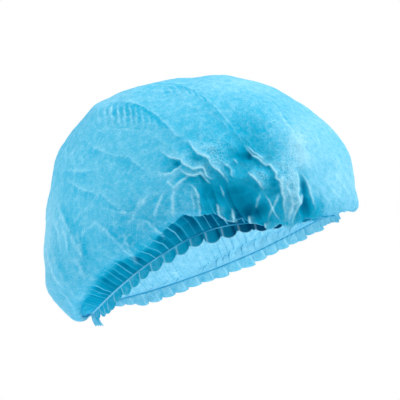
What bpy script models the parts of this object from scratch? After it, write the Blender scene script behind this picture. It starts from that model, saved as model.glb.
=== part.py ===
"""Pleated bouffant cap, puffed out as worn, with its head opening underneath.

The cap is drawn about its own opening.  Forward along the opening, sideways across it and up from it
are turned into the world by own_to_world, which tips the opening up at the front.
"""
import math

import bpy
import bmesh
from mathutils import Vector

# Real sizes, in metres.
OPENING_LONG = 0.204        # from the brow seal to the nape seal
OPENING_WIDE = 0.158        # between the two elastics at the temples
RING_POINT = 1.5            # above 1 draws the opening's two ends out to a point
TIP_UP = math.radians(25.5) # the opening rises to the front by this much
CROWN_HIGH = 0.143          # from the opening up to the top of the crown
PUFF_LONG = 0.0185          # the crown stands this far past the elastic at the brow and at the nape
PUFF_WIDE = 0.029           # and this far past it at each temple
CROWN_LONG = OPENING_LONG + 2 * PUFF_LONG
CROWN_WIDE = OPENING_WIDE + 2 * PUFF_WIDE
CLOTH = 0.001               # wall thickness of the drawn cloth
ELASTIC_RADIUS = 0.0006     # bound elastic thread
PIECE_GAP = 0.0004          # clear space left between two pieces
RUFFLE_DEEP = 0.0082        # free edge of the cloth below the elastic
RUFFLE_WAVE = 0.0030        # how far the pleats of the free edge stand in and out
GATHER_WAVE = 0.0026        # how far the gathers stand out just above the elastic
CROWN_EDGE_OUT = 0.0007     # the crown's lowest ring lies this far outside the elastic's middle
DENT_DEEP = 0.0095          # the deepest dent
CREASE_HIGH = 0.0034        # the tallest crease
EDGE_HANG = 0.0004          # the free edge hangs this far outwards
PINCHED = 0.26              # share of the pleats' swing that is left beside a seal
SEAL_WIDE = 0.0080          # both seals at the elastic
SEAL_THICK = 0.0016         # the pressed pleats
SEAL_BOW = 0.0005           # the middle of a seal stands out this far
SEAL_INSET = 0.0013         # a seal lies this far inside the elastic's end
SEAL_OVERLAP = 0.0003       # a seal starts this far above the elastic's middle
NAPE_SEAL_DEEP = 0.0110
NAPE_SEAL_FLARE = 0.0092    # width of its lower end
BROW_SEAL_DEEP = 0.0062

# Turns from a seal, in degrees.
EDGE_TURN = 9.3             # to the first pleat of a free edge
THREAD_TURN = 8.4           # to the end of an elastic

# Counts.
GATHERS = 56                # gathers round the whole opening
COLUMNS = 2 * GATHERS       # one column on each crest and each valley
PLEATS_A_SIDE = 26          # knife pleats of one free edge, seal to seal

# How high the elastic runs round the opening, every 22.5 degrees from the brow over the wearer's
# right side, the nape and the left side: shares of the opening's length.
RING_LIFT = [-0.051, -0.045, -0.010, 0.035, 0.028, 0.011, 0.008, 0.026,
             0.048, 0.067, 0.061, 0.053, 0.042, 0.029, 0.007, -0.029]

# Rows of the crown from the elastic upwards.  ring is how much of the elastic's own lift the row keeps,
# ends and sides are heights as shares of the crown's height, front, back and width are reaches as shares
# of the half sizes.
CROWN_ROWS = [
    # ring   ends    sides  front   back   width
    (1.00, 0.010, 0.052, 0.882, 0.868, 0.795),
    (1.00, -0.002, 0.082, 0.912, 0.882, 0.878),
    (0.95, 0.008, 0.108, 0.935, 0.908, 0.958),
    (0.78, 0.055, 0.168, 0.960, 0.950, 0.995),
    (0.54, 0.130, 0.235, 0.985, 0.972, 0.998),
    (0.35, 0.220, 0.315, 0.998, 0.955, 0.962),
    (0.20, 0.325, 0.405, 0.990, 0.930, 0.908),
    (0.09, 0.440, 0.502, 0.945, 0.905, 0.845),
    (0.03, 0.555, 0.598, 0.868, 0.858, 0.775),
    (0.00, 0.665, 0.690, 0.766, 0.792, 0.702),
    (0.00, 0.768, 0.780, 0.640, 0.712, 0.605),
    (0.00, 0.862, 0.866, 0.480, 0.592, 0.500),
    (0.00, 0.934, 0.936, 0.300, 0.448, 0.352),
    (0.00, 0.978, 0.978, 0.140, 0.272, 0.185),
]
TOP_RING = (0.00, 0.996, 0.996, 0.055, 0.080, 0.060)

# The lowest rows sag over the elastic here and there: degrees from the brow, reach in degrees and
# how far the cloth drops, as shares of the crown's height.
SAGS = [
    # around wide  drop
    (42, 14, 0.080),
    (91, 10, 0.038),
    (300, 16, 0.030),
    (240, 12, 0.020),
]

# Hollows and swellings of the puffed cloth.  around is in degrees from the brow over the right side,
# row counts the rows above, wide and high are the reaches in degrees and rows, depth is a share of the
# deepest dent, with hollows below zero.
DENTS = [
    # around row  wide  high  depth
    (55, 3.4, 12, 1.7, -1.00),
    (42, 5.3, 9, 1.5, -0.84),
    (74, 3.8, 8, 1.5, -0.42),
    (24, 4.2, 8, 2.4, 0.27),
    (92, 5.6, 7, 2.2, 0.32),
    (70, 7.6, 14, 1.4, 0.34),
    (110, 3.6, 9, 1.8, -0.32),
    (122, 8.4, 16, 2.2, -0.26),
    (134, 3.6, 15, 1.8, 0.53),
    (168, 2.0, 10, 1.5, -0.21),
    (200, 5.0, 12, 2.4, -0.26),
    (232, 7.5, 14, 1.8, 0.13),
    (262, 4.2, 12, 1.8, -0.58),
    (290, 6.0, 10, 1.8, 0.32),
    (318, 4.2, 12, 1.8, -0.47),
    (345, 7.5, 12, 1.6, 0.17),
]

# Long creases left by the folded strip, as ridges on the crown: start and end in the same measures,
# width in degrees, height as a share of the tallest crease.
CREASES = [
    # from         to          width height
    (74, 6.8, 57, 4.7, 4.5, 1.00),
    (104, 11.4, 64, 6.6, 4.5, 0.65),
    (22, 7.4, 31, 3.4, 4.5, 0.82),
    (46, 10.0, 40, 6.6, 5.0, 0.65),
    (41, 4.6, 40, 1.6, 3.5, 0.88),
    (76, 4.6, 77, 2.0, 3.5, 0.71),
    (112, 9.6, 112, 5.0, 5.0, 0.47),
    (228, 11.6, 262, 5.6, 6.0, 0.65),
    (296, 8.6, 286, 3.0, 5.0, 0.71),
    (334, 10.6, 312, 5.0, 6.0, 0.65),
]

FORWARD = Vector((0.0, -math.cos(TIP_UP), math.sin(TIP_UP)))
SIDEWAYS = Vector((-1.0, 0.0, 0.0))
UPWARD = Vector((0.0, math.sin(TIP_UP), math.cos(TIP_UP)))


def own_to_world(forward, sideways, upward):
    """Turn a place measured along the opening into the world."""
    return FORWARD * forward + SIDEWAYS * sideways + UPWARD * upward


def smooth_between(before, first, second, after, share):
    """A smooth curve from first to second that also leans on its neighbours."""
    bend = 2 * before - 5 * first + 4 * second - after
    twist = 3 * first - before - 3 * second + after
    return 0.5 * (2 * first + (second - before) * share + bend * share ** 2 + twist * share ** 3)


def ring_lift(around):
    """Height of the elastic at an angle round the opening."""
    count = len(RING_LIFT)
    place = (around % 360.0) / 360.0 * count
    index = int(place) % count
    share = place - int(place)
    four = [RING_LIFT[(index + step) % count] for step in (-1, 0, 1, 2)]
    return OPENING_LONG * smooth_between(*four, share)


def ring_point(around, outward=0.0, upward=0.0):
    """A point on the elastic's path, moved outwards and up if asked."""
    angle = math.radians(around)
    side = math.copysign(abs(math.sin(angle)) ** RING_POINT, math.sin(angle))
    forward = (OPENING_LONG / 2 + outward) * math.cos(angle)
    sideways = OPENING_WIDE / 2 * side + outward * math.sin(angle)
    return Vector((forward, sideways, ring_lift(around) + upward))


def row_values(row):
    """The crown's table read at any place between its rows."""
    last = len(CROWN_ROWS) - 1
    index = min(int(row), last - 1)
    share = row - index
    picks = [CROWN_ROWS[min(max(index + step, 0), last)] for step in (-1, 0, 1, 2)]
    return [smooth_between(*column, share) for column in zip(*picks)]


def turn_apart(first, second):
    """Degrees between two places round the opening."""
    return (first - second + 180.0) % 360.0 - 180.0


def crown_relief(around, row):
    """How far the cloth stands out from the plain dome, in metres."""
    relief = 0.0
    for place, level, wide, high, depth in DENTS:
        reach = (turn_apart(around, place) / wide) ** 2 + ((row - level) / high) ** 2
        relief += DENT_DEEP * depth * math.exp(-reach)
    for start, start_row, end, end_row, width, height in CREASES:
        along = (row - start_row) / (end_row - start_row)
        inside = min(max(along, 0.0), 1.0)
        line = start + (end - start) * inside
        reach = (turn_apart(around, line) / width) ** 2
        past = abs(along - inside) * abs(end_row - start_row)
        relief += CREASE_HIGH * height * math.exp(-reach - past ** 2)
    return relief


def sag_drop(around, row):
    """How far the lowest rows hang below their plain height."""
    low = math.exp(-((row - 1.2) / 1.9) ** 2)
    return sum(drop * math.exp(-(turn_apart(around, place) / wide) ** 2) for place, wide, drop in SAGS) * low


def gather_height(row):
    """The gathers are low at the elastic, fullest just above it and gone half way up."""
    levels = [0.30, 0.80, 1.00, 0.85, 0.60, 0.36, 0.18, 0.07, 0.0]
    index = min(int(row), len(levels) - 2)
    share = min(row - index, 1.0)
    return GATHER_WAVE * (levels[index] * (1 - share) + levels[index + 1] * share)


def crown_point(around, row, values=None):
    """A point of the crown's outer face, in the opening's own directions."""
    kept, ends, sides, front, back, width = values or row_values(row)
    angle = math.radians(around)
    side_share = math.sin(angle) ** 2
    share = ends + (sides - ends) * side_share - sag_drop(around, row)
    height = CROWN_HIGH * share + kept * ring_lift(around)
    reach = front if math.cos(angle) > 0 else back
    forward = CROWN_LONG / 2 * reach * math.cos(angle)
    sideways = CROWN_WIDE / 2 * width * math.sin(angle)
    point = Vector((forward, sideways, height))
    outward = (point - Vector((0.0, 0.0, 0.3 * CROWN_HIGH))).normalized()
    wave = gather_height(row) * math.cos(math.radians(GATHERS * around))
    return point + outward * (crown_relief(around, row) + wave)


def new_object(name, mesh_builder, material):
    """Make a mesh object from a function that fills an empty bmesh."""
    shape = bmesh.new()
    mesh_builder(shape)
    bmesh.ops.recalc_face_normals(shape, faces=shape.faces)
    for face in shape.faces:
        face.smooth = True
    mesh = bpy.data.meshes.new(name)
    shape.to_mesh(mesh)
    shape.free()
    mesh.materials.append(material)
    piece = bpy.data.objects.new(name, mesh)
    bpy.context.collection.objects.link(piece)
    return piece


def thicken(piece, thickness, offset):
    """Give a sheet its wall thickness."""
    wall = piece.modifiers.new("wall", "SOLIDIFY")
    wall.thickness = thickness
    wall.offset = offset
    wall.use_rim = True
    return piece


def join_rows(shape, rows, closed):
    """Faces between neighbouring rows of points."""
    for lower, upper in zip(rows, rows[1:]):
        count = len(lower)
        for index in range(count if closed else count - 1):
            after = (index + 1) % count
            shape.faces.new((lower[index], lower[after], upper[after], upper[index]))


def crown_sheet(shape):
    """The puffed crown: a ring at the elastic, the rows of the table and a closed top."""
    turns = [360.0 * index / COLUMNS for index in range(COLUMNS)]
    rows = []
    start = [own_to_world(*ring_point(turn, CROWN_EDGE_OUT, ELASTIC_RADIUS + PIECE_GAP)) for turn in turns]
    rows.append([shape.verts.new(place) for place in start])
    for row in range(len(CROWN_ROWS)):
        line = [own_to_world(*crown_point(turn, float(row), CROWN_ROWS[row])) for turn in turns]
        rows.append([shape.verts.new(place) for place in line])
    line = [own_to_world(*crown_point(turn, len(CROWN_ROWS), TOP_RING)) for turn in turns]
    rows.append([shape.verts.new(place) for place in line])
    join_rows(shape, rows, True)
    top = shape.verts.new(own_to_world(0.0, 0.0, CROWN_HIGH))
    last = rows[-1]
    for index in range(COLUMNS):
        shape.faces.new((last[index], last[(index + 1) % COLUMNS], top))


def pleat_wave(phase):
    """A knife pleat: a quick step out, a flat face and a quick step back in."""
    steps = [(0.0, -0.8), (0.22, 1.0), (0.55, 0.75), (0.82, -0.2), (1.0, -0.8)]
    for (start, low), (end, high) in zip(steps, steps[1:]):
        if phase <= end:
            return low + (high - low) * (phase - start) / (end - start)
    return steps[-1][1]


def end_fullness(place):
    """The free edge is pressed small at both seals and full from a fifth of the way in."""
    near_end = min(min(place, 1.0 - place) / 0.20, 1.0)
    return PINCHED + (1.0 - PINCHED) * near_end ** 0.8


def ruffle_sheet(first_turn, last_turn):
    """The free edge along one elastic, hanging in knife pleats from seal to seal."""
    def build(shape):
        phases = [0.0, 0.22, 0.55, 0.82]
        places = [(pleat + phase) / PLEATS_A_SIDE for pleat in range(PLEATS_A_SIDE) for phase in phases]
        places.append(1.0)
        rows = []
        for share in (1.0, 0.5, 0.0):
            line = []
            for place in places:
                around = first_turn + (last_turn - first_turn) * place
                phase = (place * PLEATS_A_SIDE) % 1.0
                wave = RUFFLE_WAVE * pleat_wave(phase) * share ** 0.7
                scallop = 1.0 - 0.10 * math.cos(2 * math.pi * phase) * share
                fullness = end_fullness(place)
                drop = ELASTIC_RADIUS + PIECE_GAP + RUFFLE_DEEP * share * scallop * fullness
                outward = (wave + EDGE_HANG * share) * fullness
                line.append(own_to_world(*ring_point(around, outward, -drop)))
            rows.append([shape.verts.new(place) for place in line])
        join_rows(shape, rows, False)
    return build


def elastic_thread(first_turn, last_turn, points=54, sides=6):
    """A thin round thread along the opening."""
    def build(shape):
        path = []
        for index in range(points):
            around = first_turn + (last_turn - first_turn) * index / (points - 1)
            path.append(own_to_world(*ring_point(around)))
        rings = []
        for index, place in enumerate(path):
            heading = path[min(index + 1, points - 1)] - path[max(index - 1, 0)]
            heading.normalize()
            across = heading.cross(UPWARD).normalized()
            above = across.cross(heading)
            ring = []
            for side in range(sides):
                turn = 2 * math.pi * side / sides
                offset = across * math.cos(turn) + above * math.sin(turn)
                ring.append(shape.verts.new(place + offset * ELASTIC_RADIUS))
            rings.append(ring)
        join_rows(shape, rings, True)
        shape.faces.new(rings[0])
        shape.faces.new(rings[-1])
    return build


def seal_plate(around, wide_bottom, deep):
    """A flat welded seal that hangs below the elastic where the two cloth edges meet."""
    def build(shape):
        centre = ring_point(around)
        outward = 1.0 if math.cos(math.radians(around)) > 0 else -1.0
        corners = []
        middle = (SEAL_WIDE + wide_bottom) / 2
        for drop, wide in ((-SEAL_OVERLAP, SEAL_WIDE), (-deep * 0.5, middle), (-deep, wide_bottom)):
            level = []
            for face in (-SEAL_THICK / 2, SEAL_THICK / 2):
                for side in (-wide / 2, 0.0, wide / 2):
                    bow = SEAL_BOW if side == 0.0 else 0.0
                    place = (centre.x + outward * (face + bow - SEAL_INSET), side, centre.z + drop)
                    level.append(shape.verts.new(own_to_world(*place)))
            corners.append(level)
        order = [0, 1, 2, 5, 4, 3]
        loops = [[level[index] for index in order] for level in corners]
        join_rows(shape, loops, True)
        shape.faces.new(loops[0])
        shape.faces.new(loops[-1])
    return build


def cloth_material(name, colour, roughness):
    """A plain dyed material."""
    material = bpy.data.materials.new(name)
    material.use_nodes = True
    shader = material.node_tree.nodes["Principled BSDF"]
    shader.inputs["Base Color"].default_value = (*colour, 1.0)
    shader.inputs["Roughness"].default_value = roughness
    return material


def build_part():
    for piece in list(bpy.data.objects):
        bpy.data.objects.remove(piece)
    fabric = cloth_material("spunbond_fabric", (0.13, 0.55, 0.75), 0.8)
    thread = cloth_material("elastic_thread", (0.10, 0.45, 0.66), 0.6)
    crown = new_object("crown", crown_sheet, fabric)
    thicken(crown, CLOTH, -1.0)
    right = new_object("right_ruffle", ruffle_sheet(EDGE_TURN, 180.0 - EDGE_TURN), fabric)
    thicken(right, CLOTH, 0.0)
    left = new_object("left_ruffle", ruffle_sheet(180.0 + EDGE_TURN, 360.0 - EDGE_TURN), fabric)
    thicken(left, CLOTH, 0.0)
    new_object("right_elastic", elastic_thread(THREAD_TURN, 180.0 - THREAD_TURN), thread)
    new_object("left_elastic", elastic_thread(180.0 + THREAD_TURN, 360.0 - THREAD_TURN), thread)
    new_object("nape_weld", seal_plate(180.0, NAPE_SEAL_FLARE, NAPE_SEAL_DEEP), fabric)
    new_object("brow_weld", seal_plate(0.0, SEAL_WIDE, BROW_SEAL_DEEP), fabric)


build_part()
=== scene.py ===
# %% [markdown]
# # A disposable pleated cap, worn and held up
# The object is a thin blue cap of spunbond polypropylene. It starts as a strip of cloth folded like an
# accordion, with an elastic thread along each long edge and a flat seal at each end. Opened out and worn,
# the strip puffs up to a crown, and the elastics gather its edge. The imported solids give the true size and
# place. This script keeps them as the frame and makes the cloth that the eye sees.

# %% Load the frame
import math
import bpy
import bmesh
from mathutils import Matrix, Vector, noise
from mathutils.bvhtree import BVHTree
from mathutils.kdtree import KDTree


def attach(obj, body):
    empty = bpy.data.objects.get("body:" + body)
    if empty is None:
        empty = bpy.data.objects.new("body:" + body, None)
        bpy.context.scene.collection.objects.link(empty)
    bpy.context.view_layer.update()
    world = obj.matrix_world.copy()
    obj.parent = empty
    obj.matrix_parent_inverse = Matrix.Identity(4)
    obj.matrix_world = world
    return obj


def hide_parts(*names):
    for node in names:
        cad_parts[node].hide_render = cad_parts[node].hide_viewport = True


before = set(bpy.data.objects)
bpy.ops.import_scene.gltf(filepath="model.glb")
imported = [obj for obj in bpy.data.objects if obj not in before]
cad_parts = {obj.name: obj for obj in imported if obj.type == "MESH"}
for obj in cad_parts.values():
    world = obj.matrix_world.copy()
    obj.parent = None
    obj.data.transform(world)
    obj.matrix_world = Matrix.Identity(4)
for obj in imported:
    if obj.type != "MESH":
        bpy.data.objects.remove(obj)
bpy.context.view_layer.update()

# %% [markdown]
# ## Where the eye stands
# The picture is taken level with the head opening from the wearer's right, a little to the front, with a
# long lens. A long lens from far off keeps the near and far edges almost the same size, so it is the way to
# match the outline. The camera looks a touch upwards, so that the cap sits where it does in the picture.

# %% Camera
PICTURE_SIZE = 400          # the picture's width and height in its own dots
METRES_PER_DOT = 0.00072    # one dot at the distance of the opening's middle
EYE_DISTANCE = 1.2
EYE_TURN = math.radians(-65.0)
OPENING_MIDDLE_X = 212      # where the opening's middle is in the picture
OPENING_MIDDLE_Y = 264

eye_back = Vector((math.sin(EYE_TURN), -math.cos(EYE_TURN), 0.0))
eye_right = Vector((math.cos(EYE_TURN), math.sin(EYE_TURN), 0.0))
picture_middle = (eye_right * (PICTURE_SIZE / 2 - OPENING_MIDDLE_X)
                  + Vector((0.0, 0.0, OPENING_MIDDLE_Y - PICTURE_SIZE / 2))) * METRES_PER_DOT
eye_place = eye_back * EYE_DISTANCE
lens = bpy.data.cameras.new("photo_camera")
lens.sensor_width = 36.0
lens.lens = lens.sensor_width * EYE_DISTANCE / (PICTURE_SIZE * METRES_PER_DOT)
lens.clip_start = 0.05
camera = bpy.data.objects.new("photo_camera", lens)
bpy.context.collection.objects.link(camera)
camera.location = eye_place
camera.rotation_euler = (picture_middle - eye_place).to_track_quat("-Z", "Y").to_euler()
bpy.context.scene.camera = camera
bpy.context.view_layer.update()
print("lens", round(lens.lens, 1), "mm, eye at", [round(value, 3) for value in eye_place])


# %% A line of sight through a dot of the picture
def sight_line(dot_x, dot_y):
    """Direction from the eye through a dot of the picture."""
    turn = camera.matrix_world.to_3x3()
    share = lens.sensor_width / lens.lens / PICTURE_SIZE
    across = (dot_x - PICTURE_SIZE / 2) * share
    upward = (PICTURE_SIZE / 2 - dot_y) * share
    return (turn @ Vector((across, upward, -1.0))).normalized()


# %% [markdown]
# ## The form that the solids were made from
# The crown, the elastics and the ruffles all follow one opening, which is a pointed oval that rises and
# falls as a saddle does. The same sizes and tables as the solids' are written here again, because the fine
# cloth must lie on the solids. The cloth could be wrapped onto the solids instead, but their facets would
# show. Crown, thread and ruffle meet in one line round the opening, which swings in and out in tiny tucks.

# %% Sizes and tables
OPENING_LONG = 0.204        # from the brow seal to the nape seal
OPENING_WIDE = 0.158
RING_POINT = 1.5            # above 1 draws the opening's two ends out to a point
TIP_UP = math.radians(25.5) # the opening rises to the front by this much
CROWN_HIGH = 0.143
CROWN_LONG = 0.241
CROWN_WIDE = 0.216
RUFFLE_DEEP = 0.0082        # free edge of the cloth below the elastic
PLEATS_A_SIDE = 26
EDGE_TURN = 9.3             # degrees from a seal to the first pleat of the ruffle
CREST_PHASE = 0.80          # where in a pleat its fold stands
THREAD_TUCK = 0.0003        # the cloth swings this far in and out at the thread
THREAD_SIDE = 0.0006        # the cloth runs inside the right thread and outside the left one, so both show

# height of the elastic at equal steps round the opening, by share of its length
RING_LIFT = [-0.051, -0.045, -0.010, 0.035, 0.028, 0.011, 0.008, 0.026,
             0.048, 0.067, 0.061, 0.053, 0.042, 0.029, 0.007, -0.029]

# share of the ring's lift, height at the ends and the sides, reach to the front, the back and the sides
CROWN_ROWS = [
    (1.00, 0.010, 0.052, 0.882, 0.868, 0.795),
    (1.00, -0.002, 0.082, 0.912, 0.882, 0.878),
    (0.95, 0.008, 0.108, 0.935, 0.908, 0.958),
    (0.78, 0.055, 0.168, 0.960, 0.950, 0.995),
    (0.54, 0.130, 0.235, 0.985, 0.972, 0.998),
    (0.35, 0.220, 0.315, 0.998, 0.955, 0.962),
    (0.20, 0.325, 0.405, 0.990, 0.930, 0.908),
    (0.09, 0.440, 0.502, 0.945, 0.905, 0.845),
    (0.03, 0.555, 0.598, 0.868, 0.858, 0.775),
    (0.00, 0.665, 0.690, 0.766, 0.792, 0.702),
    (0.00, 0.768, 0.780, 0.640, 0.712, 0.605),
    (0.00, 0.862, 0.866, 0.480, 0.592, 0.500),
    (0.00, 0.934, 0.936, 0.300, 0.448, 0.352),
    (0.00, 0.978, 0.978, 0.140, 0.272, 0.185),
    (0.00, 0.996, 0.996, 0.055, 0.080, 0.060),
    (0.00, 1.000, 1.000, 0.000, 0.000, 0.000),
]
SAGS = [
    # around wide  drop
    (42, 14, 0.080),
    (91, 10, 0.038),
    (300, 16, 0.030),
    (240, 12, 0.020),
]
DENTS = [
    # around row  wide  high  depth
    (55, 3.4, 12, 1.7, -9.5),
    (42, 5.3, 9, 1.5, -8.0),
    (74, 3.8, 8, 1.5, -4.0),
    (24, 4.2, 8, 2.4, 2.6),
    (92, 5.6, 7, 2.2, 3.0),
    (70, 7.6, 14, 1.4, 3.2),
    (110, 3.6, 9, 1.8, -3.0),
    (122, 8.4, 16, 2.2, -2.5),
    (134, 3.6, 15, 1.8, 5.0),
    (168, 2.0, 10, 1.5, -2.0),
    (200, 5.0, 12, 2.4, -2.5),
    (232, 7.5, 14, 1.8, 1.2),
    (262, 4.2, 12, 1.8, -5.5),
    (290, 6.0, 10, 1.8, 3.0),
    (318, 4.2, 12, 1.8, -4.5),
    (345, 7.5, 12, 1.6, 1.6),
]

# %% The opening's own directions
FORWARD = Vector((0.0, -math.cos(TIP_UP), math.sin(TIP_UP)))
SIDEWAYS = Vector((-1.0, 0.0, 0.0))
UPWARD = Vector((0.0, math.sin(TIP_UP), math.cos(TIP_UP)))


def own_to_world(forward, sideways, upward):
    """Turn a place measured along the opening into the world."""
    return FORWARD * forward + SIDEWAYS * sideways + UPWARD * upward


def smooth_between(before, first, second, after, share):
    """A smooth curve from first to second that also leans on its neighbours."""
    bend = 2 * before - 5 * first + 4 * second - after
    twist = 3 * first - before - 3 * second + after
    return 0.5 * (2 * first + (second - before) * share + bend * share ** 2 + twist * share ** 3)


def ring_lift(around):
    """Height of the elastic at an angle round the opening."""
    count = len(RING_LIFT)
    place = (around % 360.0) / 360.0 * count
    index = int(place) % count
    four = [RING_LIFT[(index + step) % count] for step in (-1, 0, 1, 2)]
    return OPENING_LONG * smooth_between(*four, place - int(place))


def ring_point(around, outward=0.0, upward=0.0):
    """A point on the elastic's path, moved outwards and up if asked."""
    angle = math.radians(around)
    side = math.copysign(abs(math.sin(angle)) ** RING_POINT, math.sin(angle))
    forward = (OPENING_LONG / 2 + outward) * math.cos(angle)
    sideways = OPENING_WIDE / 2 * side + outward * math.sin(angle)
    return own_to_world(forward, sideways, ring_lift(around) + upward)


# %% Plain crown without its small folds
def row_values(row):
    """The crown's table read at any place between its rows."""
    last = len(CROWN_ROWS) - 1
    index = min(int(row), last - 1)
    picks = [CROWN_ROWS[min(max(index + step, 0), last)] for step in (-1, 0, 1, 2)]
    return [smooth_between(*column, row - index) for column in zip(*picks)]


def bell(value):
    """1 in the middle, falling smoothly to 0 on both sides."""
    return math.exp(-value ** 2)


def turn_apart(first, second):
    """Degrees between two places round the opening."""
    return (first - second + 180.0) % 360.0 - 180.0


def dent_depth(around, row):
    """How far the large hollows and swellings move the cloth, in metres."""
    depth = 0.0
    for place, level, wide, high, deep in DENTS:
        reach = (turn_apart(around, place) / wide) ** 2 + ((row - level) / high) ** 2
        if reach < 9.0:
            depth += deep * math.exp(-reach)
    return depth * 0.001


def sag_drop(around, row):
    """How far the lowest rows hang below their plain height."""
    low = bell((row - 1.2) / 1.9)
    return sum(drop * bell(turn_apart(around, place) / wide) for place, wide, drop in SAGS) * low


FAR_FIRST = 40.0            # the number of the first pleat on the far side


def pleat_place(around):
    """Position round the opening counted in pleats, equal on both sides."""
    half = (around % 360.0) // 180.0
    share = (around % 360.0 - 180.0 * half - EDGE_TURN) / (180.0 - 2 * EDGE_TURN)
    return share * PLEATS_A_SIDE + FAR_FIRST * half


def knife_pleat(phase):
    """Outward share of a knife pleat: a long flat face that rises, then a steep way back."""
    if phase < CREST_PHASE:
        return -1.0 + 2.0 * phase / CREST_PHASE
    return 1.0 - 2.0 * (phase - CREST_PHASE) / (1.0 - CREST_PHASE)


def thread_line(around):
    """The line in which crown, thread and ruffle meet, with its tiny tucks."""
    place = pleat_place(around)
    from_seal = min(abs(math.sin(math.radians(around))) / 0.5, 1.0)
    beside = -THREAD_SIDE if around % 360.0 < 180.0 else THREAD_SIDE
    return ring_point(around, (beside + THREAD_TUCK * knife_pleat(place - math.floor(place))) * from_seal)


def crown_point(around, row):
    """A point of the crown's outer face, before its folds."""
    if row < 0.0:
        return crown_point(around, 0.0).lerp(thread_line(around), -row)
    kept, ends, sides, front, back, width = row_values(row)
    angle = math.radians(around)
    share = ends + (sides - ends) * math.sin(angle) ** 2 - sag_drop(around, row)
    height = CROWN_HIGH * share + kept * ring_lift(around)
    turn_to_front = 0.5 + 0.5 * math.tanh(6.0 * math.cos(angle))
    reach = back + (front - back) * turn_to_front
    forward = CROWN_LONG / 2 * reach * math.cos(angle) - 0.001 * max(row - 14.0, 0.0)
    sideways = CROWN_WIDE / 2 * width * math.sin(angle)
    point = Vector((forward, sideways, height))
    outward = (point - Vector((0.0, 0.0, 0.3 * CROWN_HIGH))).normalized()
    return own_to_world(*(point + outward * dent_depth(around, row)))


# %% [markdown]
# ## The crown's cloth before its folds
# A sheet like this could come from a cloth simulation, but then its folds fall where they like, and the ones
# in the picture are in known places. So a flat grid is rolled round the opening and closed at the top, and
# each point is moved to the crown's form. The columns stand closer together on the side that is looked at,
# where the folds are small. The grid operator also gives a UV map that follows the cloth.

# %% Roll the grid into the crown
CROWN_COLUMNS = 430         # round the opening
CROWN_STEPS = 222           # from the elastic to the top
LAST_ROW = len(CROWN_ROWS) - 1.0
CLOSER = 41.0               # degrees by which columns are drawn towards the near side
NEAR_SHARE = 0.245          # share of the columns at which they stand closest


def column_turn(share):
    """Degrees round the opening for a share of the columns, closest together on the near side."""
    turn = 2 * math.pi
    return 360.0 * share - CLOSER * (math.sin(turn * (share - NEAR_SHARE)) + math.sin(turn * NEAR_SHARE))


def step_row(share):
    """The table row for a share of the steps, closest together near the elastic."""
    return -1.0 + (LAST_ROW + 1.0) * (0.58 * share + 0.42 * share ** 2.0)


def new_layers(shape, *names):
    """New layers by these names, each with one number to a point."""
    return [shape.verts.layers.float.new(name) for name in names]


crown_mesh = bmesh.new()
bmesh.ops.create_grid(crown_mesh, x_segments=CROWN_COLUMNS, y_segments=CROWN_STEPS, size=0.5, calc_uvs=True)
turn_layer, row_layer = new_layers(crown_mesh, "turn", "row")
for vert in crown_mesh.verts:
    vert[turn_layer] = column_turn(vert.co.x + 0.5)
    vert[row_layer] = step_row(vert.co.y + 0.5)
    vert.co = crown_point(vert[turn_layer], vert[row_layer])
bmesh.ops.remove_doubles(crown_mesh, verts=crown_mesh.verts, dist=0.00001)
bmesh.ops.recalc_face_normals(crown_mesh, faces=crown_mesh.faces)
crown_mesh.normal_update()
print("crown grid:", len(crown_mesh.verts), "points,", len(crown_mesh.faces), "faces")

# %% [markdown]
# ## The folds that can be seen one by one
# The crumples over the hollow are thin ridges where the cloth has buckled, gentle above and steep below.
# Each is named and drawn along its line in the picture, then thrown onto the crown along the line of sight.
# It is kept as points on the cloth, so it stays a real relief from every side.

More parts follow.
